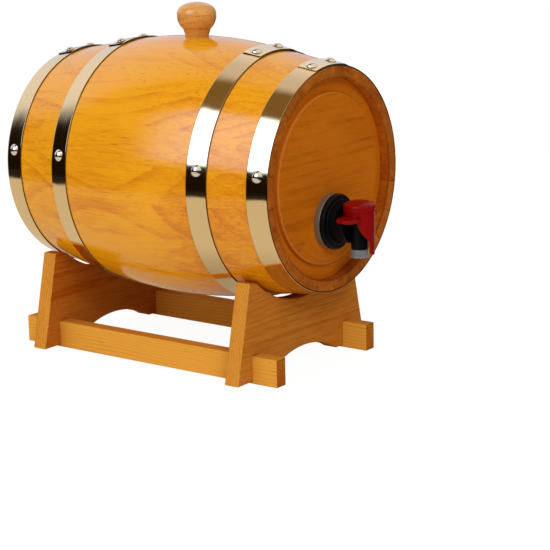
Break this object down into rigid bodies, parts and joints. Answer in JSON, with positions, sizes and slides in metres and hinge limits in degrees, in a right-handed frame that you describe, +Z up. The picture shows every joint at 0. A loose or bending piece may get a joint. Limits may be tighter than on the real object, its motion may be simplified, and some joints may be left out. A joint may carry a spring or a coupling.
{
  "type": "cask drink dispenser",
  "caption": "Small coopered cask on a cradle stand, with a press tap in its front head, a turned bung on top and a foil liner inside.",
  "frame": {"origin": "on the surface that the stand's rails rest on, under the middle of the whole object's box", "axes": "+Z up, -Y out of the front head, where the tap is, +X to the right of someone who looks along +Y at the tap"},
  "size_m": [0.1916, 0.2786, 0.26],
  "materials": {
    "stave_wood": "clear gloss lacquer over honey-amber softwood, grain along the barrel",
    "head_wood": "satin lacquer over amber-brown softwood",
    "stand_wood": "satin lacquer over orange-brown softwood",
    "bung_wood": "satin lacquer over turned softwood",
    "hoop_metal": "polished pale brass plate",
    "rivet_metal": "bright nickel",
    "ring_metal": "polished steel",
    "tap_black": "glossy black moulding",
    "tap_red": "glossy red moulding",
    "insert_clear": "milky clear moulding",
    "stem_plastic": "natural moulding",
    "gland_plastic": "white moulding",
    "seal_rubber": "soft seal",
    "liner_foil": "laminated foil"
  },
  "bodies": {
    "stand": {"front_board": "stand_wood", "rear_board": "stand_wood", "left_rail": "stand_wood", "right_rail": "stand_wood"},
    "barrel": {"stave_01": "stave_wood", "stave_02": "stave_wood", "stave_03": "stave_wood", "stave_04": "stave_wood", "stave_05": "stave_wood", "stave_06": "stave_wood", "stave_07": "stave_wood", "stave_08": "stave_wood", "stave_09": "stave_wood", "stave_10": "stave_wood", "stave_11": "stave_wood", "stave_12": "stave_wood", "stave_13": "stave_wood", "stave_14": "stave_wood", "stave_15": "stave_wood", "stave_16": "stave_wood", "stave_17": "stave_wood", "stave_18": "stave_wood", "stave_19": "stave_wood", "stave_20": "stave_wood", "stave_21": "stave_wood", "stave_22": "stave_wood", "front_head": "head_wood", "rear_head": "head_wood", "front_chime_hoop": "hoop_metal", "front_chime_rivets": "rivet_metal", "front_quarter_hoop": "hoop_metal", "front_quarter_rivets": "rivet_metal", "rear_quarter_hoop": "hoop_metal", "rear_quarter_rivets": "rivet_metal", "rear_chime_hoop": "hoop_metal", "rear_chime_rivets": "rivet_metal", "foil_liner": "liner_foil", "tap_gland": "gland_plastic", "filler_gland": "gland_plastic", "tap_ring": "ring_metal"},
    "bung": {"bung": "bung_wood"},
    "tap": {"tap_body": "tap_black", "spigot_seal": "seal_rubber", "nozzle_insert": "insert_clear", "grip_collar": "tap_red", "return_diaphragm": "seal_rubber"},
    "button": {"button": "tap_red", "valve_stem": "stem_plastic", "poppet_seal": "seal_rubber"}
  },
  "joints": [
    {"name": "barrel_lift", "type": "slide", "parent": "stand", "child": "barrel", "axis": [0, 0, 1], "range_m": [0, 0.06]},
    {"name": "bung_pull", "type": "slide", "parent": "barrel", "child": "bung", "axis": [0, 0, 1], "range_m": [0, 0.03]},
    {"name": "tap_turn", "type": "hinge", "parent": "barrel", "child": "tap", "pos_m": [0, -0.10675, 0.1093], "axis": [0, 1, 0], "continuous": true},
    {"name": "button_press", "type": "slide", "parent": "tap", "child": "button", "axis": [0, 0, -1], "range_m": [0, 0.003], "stiffness_N_per_m": 2500, "springref_m": -0.001, "deforming": ["return_diaphragm"]}
  ]
}
